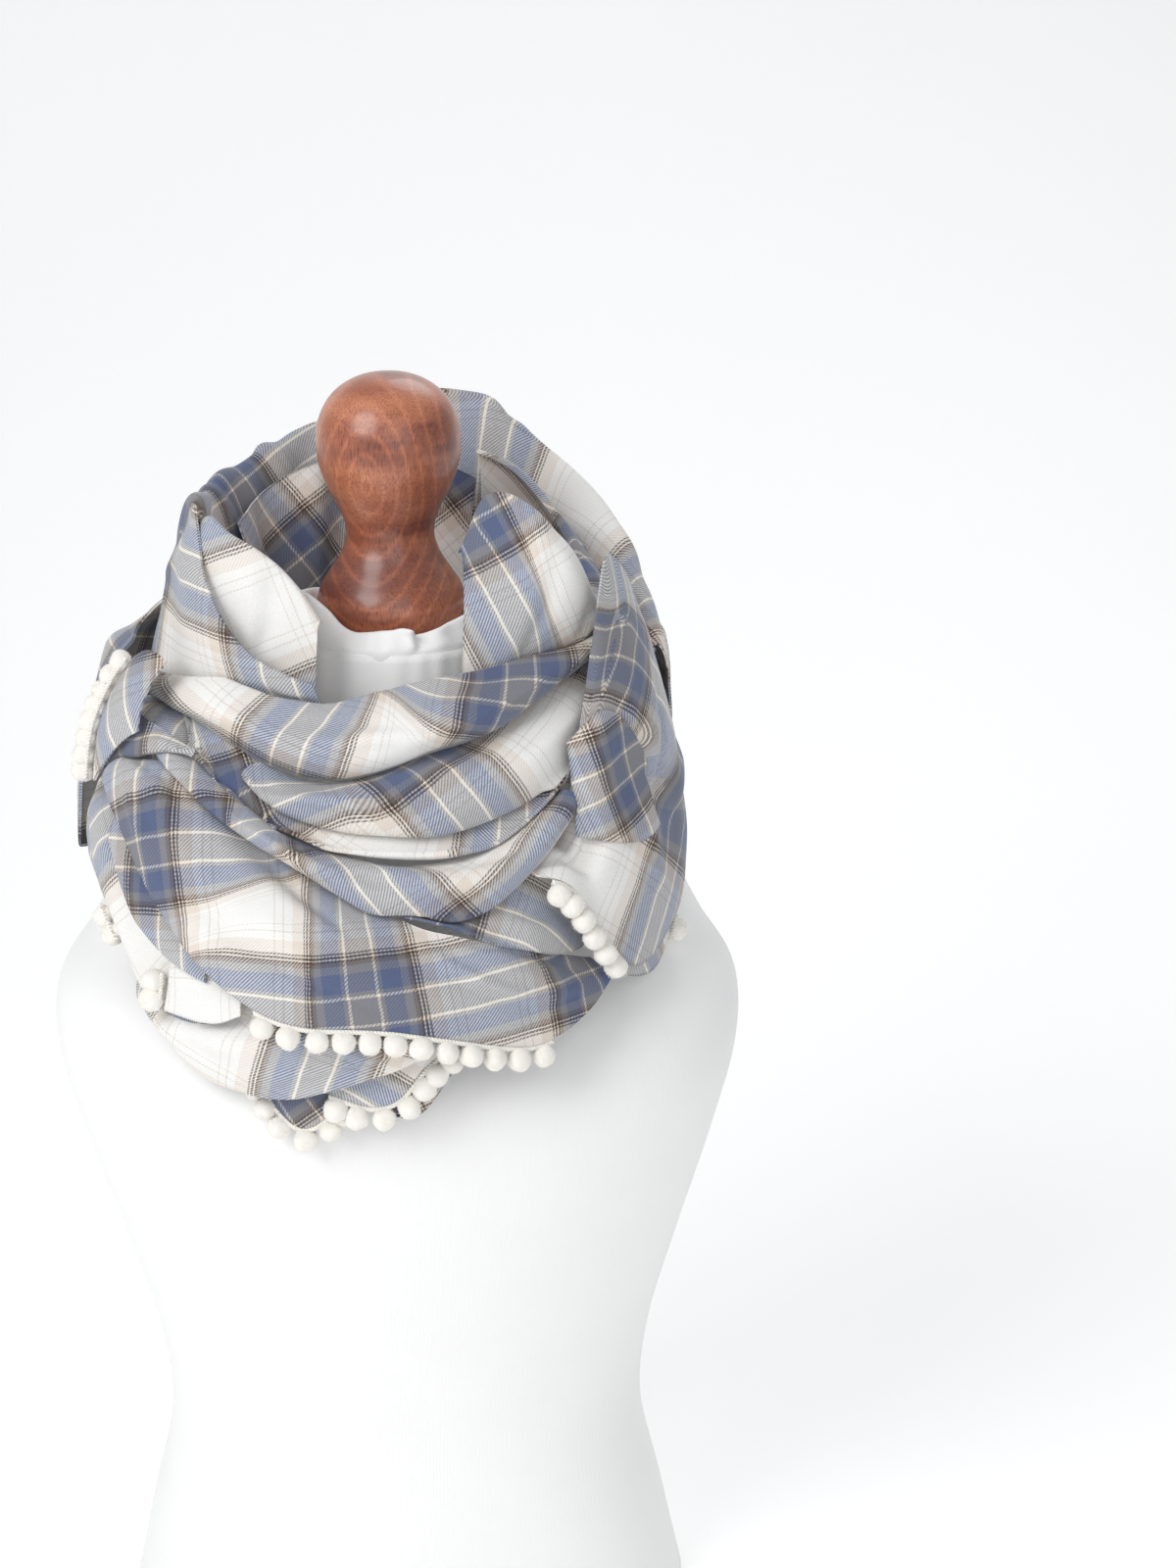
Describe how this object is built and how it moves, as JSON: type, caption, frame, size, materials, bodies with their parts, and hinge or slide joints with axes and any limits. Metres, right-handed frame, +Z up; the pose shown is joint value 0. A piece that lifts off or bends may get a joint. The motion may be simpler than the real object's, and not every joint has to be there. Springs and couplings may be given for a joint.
{
  "type": "triangle scarf on a dress form",
  "caption": "Soft checked triangle scarf with a pompom edge, wound round the neck of a limbless dress form with a turned knob.",
  "frame": {"origin": "middle of the form's flat foot, on the axis of its neck", "axes": "+Z up, -Y the front of the scarf, +X the wearer's left"},
  "size_m": [0.3506, 0.3139, 0.67],
  "materials": {
    "flannel": "soft brushed, matt",
    "trim": "woolly, matt",
    "jersey": "plain knit, matt",
    "wood": "varnished"
  },
  "bodies": {
    "root": {"back_fall": "flannel", "drape": "flannel", "fold_under": "flannel", "hood": "flannel", "inner_back": "flannel", "inner_left": "flannel", "inner_right": "flannel", "left_flap": "flannel", "left_front": "flannel", "left_hang": "flannel", "left_shade": "flannel", "lower_fold": "flannel", "right_fall": "flannel", "right_strip": "flannel", "right_under": "flannel", "roll_second": "flannel", "roll_upper": "flannel", "swag_low": "flannel", "swag_middle": "flannel", "tip": "flannel", "under_back": "flannel", "under_front": "flannel", "under_strip": "flannel", "braid_flap": "trim", "braid_front": "trim", "braid_left": "trim", "braid_left_low": "trim", "braid_right": "trim", "braid_right_end": "trim", "braid_tip": "trim", "braid_under": "trim", "cover_ruffle": "jersey", "form_body": "jersey", "finial": "wood"}
  },
  "joints": []
}
